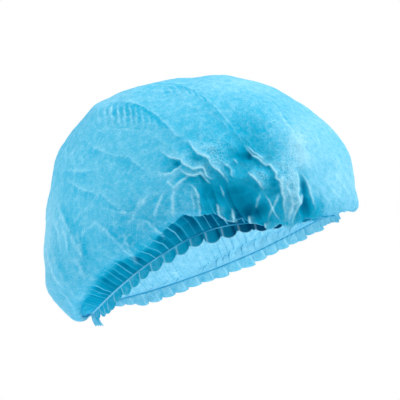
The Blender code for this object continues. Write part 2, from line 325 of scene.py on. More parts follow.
# %% Fold lines by name
FOLDS = {
    # name: (line in picture dots, height in mm, reach on the left and on the right of the line in mm)
    "roof_ridge": ([(160, 150), (163, 152), (167, 156), (172, 159), (181, 161), (184, 165), (188, 168),
        (192, 170), (197, 169), (202, 169), (204, 172), (206, 176), (210, 179), (215, 181)], 4.2, 6.5, 1.2),
    "roof_ridge_left": ([(158, 171), (165, 174), (171, 174), (176, 171), (181, 168), (184, 165)],
        2.6, 1.2, 2.6),
    "roof_ridge_low": ([(179, 169), (183, 174), (188, 176), (195, 176), (200, 174), (202, 176), (204, 179),
        (208, 182), (212, 184)], 2.8, 2.2, 1.2),
    "roof_ridge_high": ([(186, 138), (190, 144), (193, 149), (197, 154), (202, 157), (206, 159), (209, 163),
        (213, 168), (217, 171), (222, 175), (225, 179), (229, 184)], 3.8, 6.0, 1.2),
    "roof_ridge_far": ([(221, 163), (227, 166), (230, 170), (231, 175), (234, 180)], 2.4, 2.0, 1.2),
    "roof_ridge_end": ([(231, 159), (234, 162), (238, 166)], 1.8, 1.6, 1.2),
    "brow_ridge": ([(241, 144), (247, 151), (253, 157), (259, 161), (264, 166), (270, 167), (273, 170),
        (275, 175), (276, 180), (279, 184), (281, 190), (282, 197), (283, 205), (283, 212), (284, 222)],
        3.6, 3.6, 1.4),
    "brow_ridge_twin": ([(244, 145), (250, 150), (256, 155), (262, 160), (266, 165)], 2.2, 1.4, 1.4),
    "brow_ridge_low": ([(247, 171), (250, 178), (255, 182), (260, 187), (264, 192)], 3.4, 4.5, 1.2),
    "cross_left": ([(280, 192), (275, 202), (272, 209), (269, 215), (267, 221)], 2.2, 1.5, 1.5),
    "cross_right": ([(264, 193), (268, 201), (271, 208), (275, 214), (281, 222)], 2.2, 1.5, 1.5),
    "cross_short": ([(261, 193), (258, 202), (255, 210)], 2.0, 1.4, 1.4),
    "temple_fold": ([(297, 166), (297, 178), (297, 188), (296, 196), (297, 203), (295, 210), (292, 216),
        (289, 224)], 4.2, 1.2, 3.4),
    "temple_fold_short": ([(300, 171), (304, 179), (307, 185), (309, 192), (311, 201), (315, 209)],
        2.4, 3.2, 1.2),
    "temple_fold_low": ([(301, 194), (299, 201), (297, 206)], 2.4, 1.2, 2.0),
    "temple_fold_back": ([(285, 179), (286, 187), (288, 196), (291, 204), (289, 212), (286, 222)],
        3.2, 1.6, 1.6),
    "temple_fold_cross": ([(297, 197), (294, 203), (291, 206)], 2.2, 1.4, 1.4),
    "temple_fold_wide": ([(282, 177), (281, 184), (279, 190)], 2.4, 1.6, 1.6),
    "fork_stem": ([(173, 220), (173, 205), (173, 196), (174, 186)], 3.6, 1.6, 1.6),
    "fork_left": ([(175, 190), (171, 185), (168, 178)], 2.8, 1.5, 1.5),
    "fork_right": ([(173, 190), (178, 185), (183, 181), (190, 176)], 2.6, 1.5, 1.5),
    "left_ray": ([(166, 189), (162, 197), (159, 204), (156, 211), (154, 220)], 2.6, 1.4, 1.4),
    "left_ray_back": ([(151, 192), (145, 201), (140, 210)], 1.9, 1.4, 1.4),
    "right_ray": ([(190, 183), (195, 189), (198, 196), (199, 204), (200, 211), (202, 219)], 3.2, 1.2, 2.6),
    "right_ray_back": ([(191, 188), (192, 198), (194, 206), (193, 216)], 1.8, 1.3, 1.6),
    "hollow_ray": ([(219, 184), (222, 191), (225, 199)], 1.5, 1.4, 1.4),
    "lobe_ray_1": ([(216, 203), (219, 211), (222, 217), (229, 223)], 3.6, 2.6, 1.0),
    "lobe_ray_2": ([(232, 208), (235, 216), (238, 225)], 3.2, 1.0, 2.6),
    "lobe_ray_3": ([(249, 215), (252, 222), (256, 228)], 3.2, 2.6, 1.0),
    "lobe_ray_4": ([(265, 220), (266, 225), (267, 231)], 2.8, 2.0, 1.2),
    "seal_arc": ([(104, 104), (124, 102), (141, 105), (158, 117), (176, 135), (196, 151)], 1.1, 4.5, 1.8),
    "top_arc": ([(148, 81), (165, 79), (181, 80), (201, 95), (230, 125), (251, 156)], 0.9, 3.5, 2.4),
    "brow_arc": ([(265, 95), (281, 114), (293, 135), (301, 155), (314, 171)], 1.6, 2.6, 3.2),
    "pleat_print_edge": ([(102, 129), (126, 130), (156, 133)], -1.2, 2.0, 2.0),
    "back_shelf": ([(60, 171), (84, 172), (108, 170)], 1.2, 3.5, 1.6),
    "nape_fold": ([(58, 196), (66, 222), (77, 246), (86, 262)], 1.5, 2.4, 3.6),
    "nape_fold_short": ([(76, 228), (80, 247), (84, 266)], 1.1, 1.6, 2.4),
    "nape_fold_low": ([(52, 246), (60, 272), (72, 292)], 1.2, 2.4, 3.0),
    "nape_crease_1": ([(61, 221), (67, 235), (69, 261)], 1.3, 1.4, 2.2),
    "nape_crease_2": ([(53, 213), (59, 231), (61, 255)], 1.2, 2.0, 1.4),
    "nape_crease_3": ([(71, 247), (78, 261), (87, 280)], 1.1, 1.4, 2.2),
    "nape_crease_4": ([(47, 245), (51, 261), (57, 278), (67, 294)], 1.3, 1.4, 2.2),
    "nape_crease_5": ([(81, 215), (101, 225), (120, 243), (138, 265)], 1.0, 1.6, 2.4),
    "nape_crease_6": ([(55, 290), (67, 301), (78, 311)], 1.0, 1.4, 2.0),
    "body_crease_1": ([(62, 178), (84, 190), (112, 198)], 1.0, 2.2, 1.4),
    "body_crease_2": ([(78, 132), (92, 146), (112, 156), (134, 158)], 0.9, 2.4, 1.6),
    "body_crease_3": ([(96, 206), (116, 212), (138, 214)], 0.9, 1.4, 2.2),
    "side_fold": ([(97, 188), (118, 208), (138, 222)], 0.9, 4.0, 2.4),
    "side_fold_long": ([(120, 150), (136, 163), (152, 178)], 1.0, 4.0, 2.6),
    "side_ray": ([(123, 228), (132, 219), (140, 200), (147, 188)], 0.9, 1.6, 2.0),
    "band_ray_1": ([(134, 219), (149, 222), (160, 231), (168, 244)], 1.4, 1.5, 1.9),
    "band_ray_2": ([(122, 228), (130, 248), (139, 268)], 1.3, 1.5, 1.9),
}
PRINTS = {
    # name: (heights in mm, reach on the left and on the right in mm, lines in picture dots)
    "pleat_print": ([1.0, 1.5, 1.8, 1.7, 1.6, 1.5, 1.4, 1.3, 1.0, 0.8], 1.0, 2.4, [
        [(103, 106), (101, 116), (102, 127)], [(109, 104), (108, 115), (109, 128)],
        [(114, 103), (114, 115), (115, 128)], [(120, 103), (120, 115), (121, 128)],
        [(125, 103), (126, 115), (127, 128)], [(131, 104), (132, 116), (133, 128)],
        [(136, 106), (138, 117), (139, 129)], [(142, 109), (144, 119), (146, 129)],
        [(148, 113), (151, 122), (154, 131)], [(154, 117), (157, 125), (160, 132)]]),
    "top_print": ([1.1] * 6, 1.0, 2.0, [
        [(160, 83), (163, 90), (167, 97)], [(167, 81), (171, 88), (176, 96)],
        [(174, 80), (178, 87), (184, 96)], [(181, 81), (186, 89), (191, 97)],
        [(189, 86), (193, 93), (198, 101)], [(197, 92), (201, 99), (205, 106)]]),
    "back_print": ([0.9, 0.9, 0.8], 1.6, 1.6, [
        [(66, 143), (66, 155), (67, 168)], [(74, 143), (74, 155), (76, 168)],
        [(82, 146), (83, 156), (84, 166)]]),
    "front_ray": ([1.2, 1.2, 1.2, 1.1], 1.6, 1.6, [
        [(333, 171), (339, 182), (347, 194)], [(340, 170), (347, 182), (354, 194)],
        [(328, 184), (336, 194), (344, 204)], [(322, 192), (328, 201), (333, 209)]]),
}
for name, (heights, left, right, lines) in PRINTS.items():
    for number, (height, line) in enumerate(zip(heights, lines), 1):
        FOLDS[f"{name}_{number}"] = (line, height, left, right)
SAMPLE_DOTS = 1.0           # step along a line


def dots_along(line):
    """Dots at equal steps along a bent line."""
    dots = []
    for (x0, y0), (x1, y1) in zip(line, line[1:]):
        count = max(int(math.hypot(x1 - x0, y1 - y0) / SAMPLE_DOTS), 1)
        dots += [(x0 + (x1 - x0) * k / count, y0 + (y1 - y0) * k / count) for k in range(count)]
    return dots + [line[-1]]


# %% Throw the folds onto the crown
FAR_FACE = 0.02             # a line of sight that lands this far behind the middle has missed the near face
crown_tree = BVHTree.FromBMesh(crown_mesh)
fold_points = []
for name, (line, height, left, right) in FOLDS.items():
    landed = []
    for dot_x, dot_y in dots_along(line):
        place, normal, face, distance = crown_tree.ray_cast(eye_place, sight_line(dot_x, dot_y))
        if place is not None and distance < EYE_DISTANCE + FAR_FACE:
            landed.append((place, normal))
    for index, (place, normal) in enumerate(landed):
        ahead = landed[min(index + 2, len(landed) - 1)][0] - landed[max(index - 2, 0)][0]
        if ahead.length > 0.0:
            share = index / max(len(landed) - 1, 1)
            fade = min(1.0, 3.2 * share, 3.2 * (1.0 - share))
            to_left = normal.cross(ahead.normalized())
            fold_points.append((place, to_left, name, height * 0.001 * fade, left * 0.001, right * 0.001))
fold_tree = KDTree(len(fold_points))
for index, point in enumerate(fold_points):
    fold_tree.insert(point[0], index)
fold_tree.balance()
print("fold lines:", len(FOLDS), "as", len(fold_points), "points on the cloth")


# %% Relief of the folds
NOISE_SEED = 1              # without a seed, noise_vector draws new offsets from the clock in each run
noise.seed_set(NOISE_SEED)
FOLD_SHARE = 0.48           # heights in the table are those of the folded flap, of which this share stands up
CREST_WIDE = 0.00060        # half width of the pale line along a crease
FOLD_REACH = 0.020          # farther off than this a fold isn't felt
LINE_WAVER = 0.0008         # no fold is as straight as its line
# painted shade on a fold's steep side and painted light on its flap reach this far
SHADE_REACH = 0.0048        # the deeper colour on a fold's steep side
FLAP_REACH = 0.0034         # the paler colour of the flap itself


def fold_relief(place, around):
    """Height of the named folds at a point, the pale line along their crests with painted light on the flaps,
    and the painted shade on their steep sides.
    """
    wide = CREST_WIDE * (1.0 + 1.2 * min(max((abs(turn_apart(around, 45.0)) - 25.0) / 60.0, 0.0), 1.0))
    place = place + LINE_WAVER * noise.noise_vector(place * 240.0)
    nearest = {}
    for spot, index, distance in fold_tree.find_range(place, FOLD_REACH):
        name = fold_points[index][2]
        if name not in nearest or distance < nearest[name][0]:
            nearest[name] = (distance, index)
    relief = 0.0
    crest = 0.0
    flap_light = 0.0
    under = 0.0
    for distance, index in nearest.values():
        spot, to_left, name, height, left, right = fold_points[index]
        on_left = (place - spot).dot(to_left) > 0
        reach = left if on_left else right
        rounded = math.sqrt(distance ** 2 + CREST_WIDE ** 2) - CREST_WIDE
        relief += FOLD_SHARE * height * math.exp(-rounded / reach)
        # the pale line along a crest is partly painted highlight; under is painted shade on the steep side,
        # and the flap gets painted light
        crest += min(abs(height) * 700.0, 1.9) * bell(distance / wide)
        if reach < max(left, right):
            under += min(abs(height) * 220.0, 0.66) * math.exp(-distance / SHADE_REACH)
        elif left != right:
            flap_light = max(flap_light, min(abs(height) * 190.0, 0.65) * math.exp(-distance / FLAP_REACH))
    return relief, crest + flap_light, under


# %% [markdown]
# ## Gathers at the elastic
# The elastic draws the cloth's edge together into small knife pleats, one to each ruffle tab. They are crisp
# at the thread and run out a few centimetres up. On the real cap no two are alike, so each pleat gets its
# own height and length from its number. Above the near thread the puffed cloth has turned in under itself:
# it hangs in rounded lobes over a band whose shade is painted into the colour as a darker cyan. A table says
# at which height that happens and how crisp the turn is. The pale line along the turned edge and the pale far
# wall are painted light, the dark lines of the far pleats are painted shade, and the pale lines of the near
# pleats are partly painted highlight.

# %% Where the cloth turns under
TURN_UNDER = [
    # around row   how crisp
    (0, 0.9, 0.1),
    (12, 0.7, 0.1),
    (25, 0.9, 0.7),
    (40, 1.0, 1.0),
    (55, 0.9, 1.0),
    (64, 1.1, 0.85),
    (74, 1.3, 0.35),
    (90, 1.2, 0.10),
    (120, 0.9, 0.05),
    (148, 0.1, 0.05),
    (166, -0.5, 0.1),
    (180, -0.8, 0.1),
    (230, 1.0, 0.5),
    (270, 1.1, 0.6),
    (310, 1.0, 0.6),
    (360, 0.9, 0.3),
]


def ease(value):
    """0 below 0, 1 above 1 and smooth in between."""
    value = min(max(value, 0.0), 1.0)
    return value * value * (3.0 - 2.0 * value)


def turn_under(around):
    """The row in which the cloth turns in under the crown, and how crisp that fold is."""
    around = around % 360.0
    for before, after in zip(TURN_UNDER, TURN_UNDER[1:]):
        if around <= after[0]:
            share = ease((around - before[0]) / (after[0] - before[0]))
            return tuple(first + (second - first) * share for first, second in zip(before[1:], after[1:]))
    return TURN_UNDER[-1][1:]


def odd_share(number, salt=0.0):
    """A fixed share between 0 and 1 that looks random for each whole number."""
    value = math.sin((number + 11.0) * 12.9898 + salt * 78.233) * 43758.5453
    return value - math.floor(value)


# %% Relief of the gathers
# painted light on the far wall, which is seen lit from behind
FAR_PAINTED_LIGHT = 0.80             # bloom of the single layer on the far side, which is lit from both faces
LOBE_PLEATS = 1.7           # pleats that hang together as one lobe at the turned-under edge
GATHER_HIGH = 0.0011        # the knife pleats just above the thread
LOBE_HIGH = 0.0013          # the lobes of the turned-under edge
LIP_HIGH = 0.0010           # the lip along that edge
BAND_DEEP = 0.0030          # the band under the edge lies this far in
# weakens the band's painted shade towards the nape
NAPE_FADE = 0.50            # towards the nape the cloth is pulled tight, so less of it lies behind the edge


def gather_relief(around, row):
    """The gathers near the elastic: relief, painted light, painted shade under the turned edge and strength
    of the pale and dark pleat lines.
    """
    place = pleat_place(around)
    number = math.floor(place)
    phase = place - number
    half_number = math.floor(2.0 * (place - CREST_PHASE) + 0.5)
    edge_row, crisp = turn_under(around)
    lobe = math.floor(place / LOBE_PLEATS)
    lobe_phase = place / LOBE_PLEATS - lobe
    hang = abs(math.sin(math.pi * lobe_phase)) * (0.6 + 0.8 * odd_share(lobe, 5.0))
    edge_row -= 0.42 * crisp * (hang - 0.5)
    above = row - edge_row
    in_band = ease(-above / 0.30 + 0.35)
    brow = bell(turn_apart(around, 0.0) / 24.0)
    run = 0.9 + 2.6 * odd_share(number, 1.0) ** 2 + 2.2 * brow
    upward_fade = math.exp(-max(above, 0.0) / run * 1.6)
    tall = 0.55 + 0.75 * odd_share(number, 2.0) + 0.5 * brow
    low = ease(row + 1.0)
    calm = 0.35 + 0.65 * crisp if around % 360.0 < 180.0 else 1.0
    pleats = GATHER_HIGH * tall * low * upward_fade * knife_pleat(phase) * calm
    puff = LOBE_HIGH * crisp * hang * bell(above / 0.9) * low
    lip = LIP_HIGH * crisp * math.exp(-max(above, 0.0) / 0.8) * (1.0 - in_band) * low
    recess = -BAND_DEEP * (0.15 + 0.85 * crisp) * in_band * low
    from_seal = abs(math.sin(math.radians(around)))
    drawn = ease(from_seal / 0.25)
    if around % 360.0 > 180.0:
        # painted light on the far wall
        painted_light = FAR_PAINTED_LIGHT * ease(from_seal / 0.45) * (1.0 - ease((row - 2.5) / 6.0))
        # dark lines along the far pleats: painted shade
        line = -1.25 * math.exp(-max(row, 0.0) / 3.2) * (0.30 + 0.7 * odd_share(half_number, 4.0)) * low
        return pleats + 0.6 * (puff + lip + recess), painted_light, 0.0, line * drawn
    # pale lines along the near pleats, partly painted highlight
    line = 0.50 * upward_fade ** 2.5 * (0.10 + 1.1 * odd_share(half_number, 4.0) ** 2)
    # painted highlight along the turned edge
    edge_line = 0.4 * crisp * bell((above - 0.12) / 0.14)
    # painted shade on the band under the turned edge
    under = ease(-above / (1.5 - 1.1 * crisp) + 0.55) * ease((around - 12.0) / 18.0)
    under *= 1.0 - 0.7 * ease((around - 140.0) / 32.0)
    if around < 180.0:
        under *= 1.0 - NAPE_FADE * ease((around - 122.0) / 44.0)
    return pleats + puff + lip + recess, edge_line, under, line * drawn


# %% [markdown]
# ## Crumples everywhere else
# Thin spunbond that was packed flat keeps a net of faint creases between almost flat facets. Cell noise
# gives such a net, and a bent copy of the place keeps its lines from running straight. Fainter lines from
# seal to seal are what is left of the accordion folds. Noise is used because no one looks at these creases
# one by one.

# %% Crumple relief
HOLLOW_DOT = (228, 185)     # the middle of the hollow in the picture
HOLLOW_REACH = 0.050        # round it the crumples are stronger
FACETS_A_METRE = 34.0       # one facet is about 3 cm wide
SMALL_FACETS_A_METRE = 85.0 # and the small ones in it 12 mm
FACET_CREASE = 0.00060      # height of the creases between the facets
SMALL_CREASE = 0.00026
SOFT_HIGH = 0.0012          # the soft waves between them
hollow_place = crown_tree.ray_cast(eye_place, sight_line(*HOLLOW_DOT))[0]


def crumple_relief(place, crinkled):
    """Irregular facets and creases, stronger round the hollow and where the cloth is crinkled."""
    bent = place + 0.006 * noise.noise_vector(place * 28.0)
    near = bell((place - hollow_place).length / HOLLOW_REACH)
    strength = 0.58 + 0.7 * near
    wide_cells = noise.voronoi(bent * FACETS_A_METRE)[0]
    small_cells = noise.voronoi(bent * SMALL_FACETS_A_METRE + Vector((3.1, 0.7, 5.2)))[0]
    wide_edge = math.exp(-(wide_cells[1] - wide_cells[0]) / 0.09)
    small_edge = math.exp(-(small_cells[1] - small_cells[0]) / 0.12)
    broad = 1.0 - 2.0 * abs(noise.noise(place * 26.0 + Vector((2.0, 8.0, 4.0))))
    soft = noise.fractal(place * 22.0, 1.0, 2.0, 3)
    fine = noise.noise(bent * 170.0)
    ridged = (1.0 - abs(noise.noise(bent * 95.0)) * 2.2) + 0.5 * (1.0 - abs(noise.noise(bent * 190.0)) * 2.2)
    relief = strength * (FACET_CREASE * wide_edge + SMALL_CREASE * small_edge)
    relief += SOFT_HIGH * (soft + broad + crinkled * ridged) + 0.0001 * fine
    # pale crinkle tops, partly whitening and partly painted highlight
    whitened_and_lit = 0.30 * crinkled * max(ridged - 0.95, 0.0) / 0.55
    return relief, strength * (0.30 * wide_edge ** 3 + 0.16 * small_edge ** 3) + whitened_and_lit


MEMORY_STEP = 7.5           # degrees between two accordion creases


def memory_relief(place, row):
    """Faint accordion creases that run from seal to seal."""
    sideways = place.dot(SIDEWAYS)
    upward = place.dot(UPWARD)
    turn = math.degrees(math.atan2(upward, sideways))
    phase = (turn + 4.0 * noise.noise(place * 14.0)) / MEMORY_STEP
    away = abs(phase - round(phase)) * 2.0
    shown = max(noise.noise(place * 17.0 + Vector((9.0, 4.0, 1.0))) + 0.15, 0.0)
    line = math.exp(-away / 0.16) * shown * min(max(row - 2.0, 0.0), 1.0)
    return 0.00070 * line, 0.75 * line


# %% [markdown]
# ## Where the cloth has painted shade, painted light or crinkles
# Round the hollow the cloth has slid down over itself, and its shade there is painted into the colour as a
# deeper cyan. Each patch of painted shade is named, with its middle in the picture, its size and how deep it
# is, and thrown onto the cloth like the folds. Glows of painted light, places with a net of tiny creases, and
# the broad swells and flats of the outline are named in the same way.

# %% Painted shade patches by name
PAINTED_SHADE_PATCHES = {
    # name: (middle in picture dots, half width, half height in mm, depth of the painted shade)
    "hollow_top": ((244, 157), 17, 10, 0.84),
    "hollow_middle": ((236, 192), 21, 13, 0.82),
    "over_the_band": ((251, 212), 25, 12, 0.96),
    "under_the_roof": ((198, 162), 6, 3.5, 0.62),
    "under_the_roof_left": ((178, 165), 3.5, 2.5, 0.60),
    "below_the_roof": ((211, 195), 10, 12, 0.66),
    "temple_pocket": ((309, 209), 9, 9, 0.70),
    "temple_pocket_low": ((302, 209), 5, 8, 0.72),
    "rim_shade": ((222, 220), 17, 5, 0.85),
    "side_shade": ((158, 201), 14, 11, 0.13),
    "temple_pocket_top": ((303, 186), 3, 9, 0.72),
    "between_folds": ((274, 184), 6, 10, 0.55),
    "between_folds_top": ((270, 158), 5, 8, 0.45),
    "nape_shade": ((126, 236), 20, 12, 0.22),
    "middle_shade": ((200, 132), 24, 15, 0.13),
    "brow_shade": ((250, 132), 16, 14, 0.34),
}
# painted light: pale patches where the cloth is coloured as if lit through one layer
PAINTED_GLOWS = {
    # name: (middle in picture dots, half width, half height in mm, paleness of the painted light)
    "fold_bloom": ((290, 190), 6, 13, 0.40),
    "fold_bloom_low": ((289, 214), 3.2, 7, 0.30),
    "brow_glow": ((312, 135), 24, 26, 0.66),
    "brow_end_glow": ((342, 184), 20, 18, 0.75),
    "top_glow": ((236, 86), 34, 9, 0.50),
    "nape_glow": ((45, 240), 9, 44, 0.80),
    "seal_glow": ((112, 100), 16, 8, 0.30),
    "arc_bloom": ((298, 146), 3.2, 12, 0.95),
    "arc_bloom_low": ((305, 160), 4, 4, 0.85),
}
CRINKLES = {
    # name: (middle in picture dots, half width, half height in mm, strength)
    "roof_crinkle": ((214, 157), 13, 10, 1.0),
    "roof_left_crinkle": ((188, 166), 12, 6, 0.25),
    "brow_crinkle": ((287, 184), 8, 14, 0.9),
    "ridge_crinkle": ((262, 160), 12, 8, 0.8),
    "fold_crinkle": ((260, 181), 8, 7, 1.0),
    "arc_crinkle": ((299, 146), 7, 14, 1.0),
    "side_crinkle": ((168, 204), 16, 12, 0.12),
}

# %% Broad swells and flats by name
SWELLS = {
    # name: (middle in picture dots, half width, half height, height in mm)
    "top_left_flat": ((168, 86), 24, 14, -3.6),
    "top_flat": ((190, 77), 14, 10, -2.3),
    "left_flat": ((46, 200), 8, 28, -2.6),
    "brow_top_flat": ((297, 110), 17, 14, -3.4),
    "seal_corner": ((100, 112), 9, 9, 2.6),
    "seal_corner_dip": ((73, 145), 8, 9, -1.2),
    "nape_low_flat": ((60, 302), 9, 9, -3.4),
    "nape_corner": ((79, 318), 6, 5, 4.2),
    "brow_swell": ((340, 158), 10, 12, 2.8),
    "brow_dip": ((352, 186), 6, 6, -1.0),
}


PATCH_REACH = 0.075         # a patch stops here, so that it doesn't show through on the far side


def landed_patches(table):
    """Middle on the cloth, half width, half height and strength of each named patch."""
    patches = []
    for middle, half_wide, half_high, strength in table.values():
        sight = sight_line(*middle)
        spot = crown_tree.ray_cast(eye_place, sight)[0]
        if spot is None:
            spot = crown_tree.find_nearest(eye_place + sight * EYE_DISTANCE)[0]
        patches.append((spot, half_wide * 0.001, half_high * 0.001, strength))
    return patches


def patch_shares(place, patches):
    """Strength of each patch at a point of the cloth."""
    shares = []
    for spot, half_wide, half_high, strength in patches:
        away = place - spot
        if away.length < PATCH_REACH:
            reach = (away.dot(eye_right) / half_wide) ** 2 + (away.z / half_high) ** 2
            shares.append(strength * math.exp(-reach))
    return shares


painted_shade_spots = landed_patches(PAINTED_SHADE_PATCHES)
painted_glow_spots = landed_patches(PAINTED_GLOWS)
crinkle_spots = landed_patches(CRINKLES)
swell_spots = landed_patches(SWELLS)
print("patches:", len(painted_shade_spots), "deep,", len(painted_glow_spots), "pale,", len(swell_spots), "swells")


# %% Raise the folds along the cloth's own normals
# the crest attribute carries pale creases and painted light, the deep attribute carries painted shade
crest_layer, painted_shade_layer, crinkle_layer, pleat_layer, line_layer = new_layers(
    crown_mesh, "crest", "deep", "crinkle", "pleat", "line")
moves = []
for vert in crown_mesh.verts:
    around, row = vert[turn_layer], vert[row_layer]
    free = ease(row + 1.0)
    named, named_crest, fold_shade = fold_relief(vert.co, around)
    gathered, gathered_crest, band_shade, line = gather_relief(around, row)
    crinkled = min(sum(patch_shares(vert.co, crinkle_spots)), 1.0)
    crumpled, crumpled_crest = crumple_relief(vert.co, crinkled)
    kept, kept_crest = memory_relief(vert.co, row)
    swell = 0.001 * sum(patch_shares(vert.co, swell_spots))
    moves.append(vert.normal * (free * (named + crumpled + kept + swell) + gathered))
    # painted light from the named glows
    glow = sum(patch_shares(vert.co, painted_glow_spots))
    # painted shade under the turned edge, on the folds' steep sides and in the named patches; what is left is
    # the unshaded share
    unshaded = (1.0 - 0.86 * band_shade) * (1.0 - min(fold_shade, 0.8))
    for share in patch_shares(vert.co, painted_shade_spots):
        unshaded *= 1.0 - share
    # pale creases and painted highlights, fainter where painted shade lies
    pale_marks_and_painted_light = named_crest + gathered_crest + (crumpled_crest + kept_crest) * (0.10 + 0.90 * unshaded ** 2) + glow
    vert[crest_layer] = min(max(pale_marks_and_painted_light - 0.26 * (1.0 - unshaded), 0.0), 2.0)
    vert[crinkle_layer] = 0.12 + 0.8 * crinkled
    vert[painted_shade_layer] = 1.0 - unshaded
    vert[pleat_layer] = 2.0 * (pleat_place(around) - CREST_PHASE)
    vert[line_layer] = line
for vert, move in zip(crown_mesh.verts, moves):
    vert.co += move
crown_mesh.normal_update()
print("largest fold", round(max(move.length for move in moves) * 1000, 2), "mm")


# %% [markdown]
# ## Painted shade in the hollows
# The cloth's colour is painted a deeper cyan where it lies in a hollow, as painted shade. The depth of a
# hollow against its surroundings tells where that is, so the difference between a point and its smoothed
# surroundings is kept as an attribute for the painted shade.

# %% Hollow measure
def hollow_measure(mesh, passes, scale):
    """How far each point lies below its smoothed surroundings, from -1 to 1."""
    layer = mesh.verts.layers.float.new("hollow")
    mesh.verts.index_update()
    mesh.verts.ensure_lookup_table()
    links = [[edge.other_vert(vert).index for edge in vert.link_edges] for vert in mesh.verts]
    smoothed = [vert.co.copy() for vert in mesh.verts]
    for turn in range(passes):
        middles = [sum((smoothed[other] for other in around), Vector()) / len(around) for around in links]
        smoothed = [point.lerp(middle, 0.7) for point, middle in zip(smoothed, middles)]
    for vert in mesh.verts:
        depth = (smoothed[vert.index] - vert.co).dot(vert.normal)
        vert[layer] = max(min(depth / scale, 1.0), -1.0)


# %% From a bmesh to a piece that rides with the frame
def finish_piece(shape, name, material, replaced):
    """Make the object, shade it smooth, hang it on the frame's root and hide the solid that it replaces."""
    mesh = bpy.data.meshes.new(name)
    shape.to_mesh(mesh)
    shape.free()
    for face in mesh.polygons:
        face.use_smooth = True
    mesh.materials.append(material)
    piece = bpy.data.objects.new(name, mesh)
    bpy.context.collection.objects.link(piece)
    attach(piece, "root")
    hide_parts(replaced)
    triangles = sum(len(face.vertices) - 2 for face in mesh.polygons)
    area = sum(face.area for face in mesh.polygons)
    print(name, triangles, "triangles,", round(area, 4), "square metres")
    return piece


# %% [markdown]
# ## Spunbond polypropylene, dyed light blue
# The cloth is a web of fine plastic threads laid down hot and pressed together. The threads lie thicker in
# some places, so it looks cloudy, and it lets light through. It is matt. Light and shade are also painted
# into
# its colour: a whitish painted light where the attributes ask for it, and a painted shade of deep cyan where
# they set the cloth in shade. Creases are drawn pale, partly as the cloth's own whitening, because bent
# threads scatter more light, and partly as painted highlight. The edges of the pleats, the net of tiny
# creases and the hair-thin ones left from packing are finer than the grid, so the finish draws them: as lines
# in the places that the cloth's attributes name.

# %% Colour and node helpers
def from_hex(text):
    """An sRGB hex colour as linear values."""
    values = [int(text[index:index + 2], 16) / 255 for index in (1, 3, 5)]
    return tuple(v / 12.92 if v <= 0.04045 else ((v + 0.055) / 1.055) ** 2.4 for v in values) + (1.0,)


def add_node(tree, kind, settings=None, values=None, links=None):
    """Add one node with its settings, its values and what feeds it. A node there means its first output."""
    node = tree.nodes.new("ShaderNode" + kind)
    for key, value in (settings or {}).items():
        setattr(node, key, value)
    for key, value in (values or {}).items():
        node.inputs[key].default_value = value
    for key, source in (links or {}).items():
        tree.links.new(source.outputs[0] if hasattr(source, "outputs") else source, node.inputs[key])
    return node


def new_material(name):
    """An empty node material and its tree."""
    material = bpy.data.materials.new(name)
    material.use_nodes = True
    material.node_tree.nodes.clear()
    return material, material.node_tree


# %% Lines that are too fine for the grid
CRINKLE_SIZE = 0.0024       # one facet of the fine net of creases
WANDER_SIZE = 0.030         # bends in the pleats' edges
CREASE_SIZE = 0.026         # between the hair-thin creases left from packing
FALLING = {"To Min": 1.0, "To Max": 0.0}    # a range that falls from 1 to 0


def crease_net(tree, place):
    """The net of creases between tiny facets, where the crinkle attribute asks for it."""
    crinkle = add_node(tree, "Attribute", {"attribute_name": "crinkle"}).outputs["Fac"]
    bending = add_node(tree, "TexNoise", None, {"Scale": 1.0 / CRINKLE_SIZE, "Detail": 2.0},
                       {"Vector": place})
    bent = add_node(tree, "VectorMath", {"operation": "MULTIPLY_ADD"}, {1: (CRINKLE_SIZE,) * 3},
                    {0: bending.outputs["Color"], 2: place})
    cells = add_node(tree, "TexVoronoi", {"feature": "DISTANCE_TO_EDGE"},
                     {"Scale": 1.0 / CRINKLE_SIZE}, {"Vector": bent})
    edges = add_node(tree, "MapRange", None, {"From Max": 0.16, **FALLING}, {"Value": cells})
    return add_node(tree, "Math", {"operation": "MULTIPLY"}, None, {0: edges, 1: crinkle})


def pleat_lines(tree, wander):
    """The accordion's edges, a line at each half pleat: pale lines, partly painted highlight, where the line
    attribute is above 0, and painted shade lines where it is below.
    """
    pleat = add_node(tree, "Attribute", {"attribute_name": "pleat"}).outputs["Fac"]
    line = add_node(tree, "Attribute", {"attribute_name": "line"}).outputs["Fac"]
    wavering = add_node(tree, "Math", {"operation": "MULTIPLY_ADD"}, {1: 0.5}, {0: wander, 2: pleat})
    phase = add_node(tree, "Math", {"operation": "FRACT"}, None, {0: wavering})
    from_crest = add_node(tree, "Math", {"operation": "SUBTRACT"}, {1: 0.25}, {0: phase})
    apart = add_node(tree, "Math", {"operation": "ABSOLUTE"}, None, {0: from_crest})
    edges = add_node(tree, "MapRange", None, {"From Max": 0.11, **FALLING}, {"Value": apart})
    return add_node(tree, "Math", {"operation": "MULTIPLY"}, None, {0: edges, 1: line})


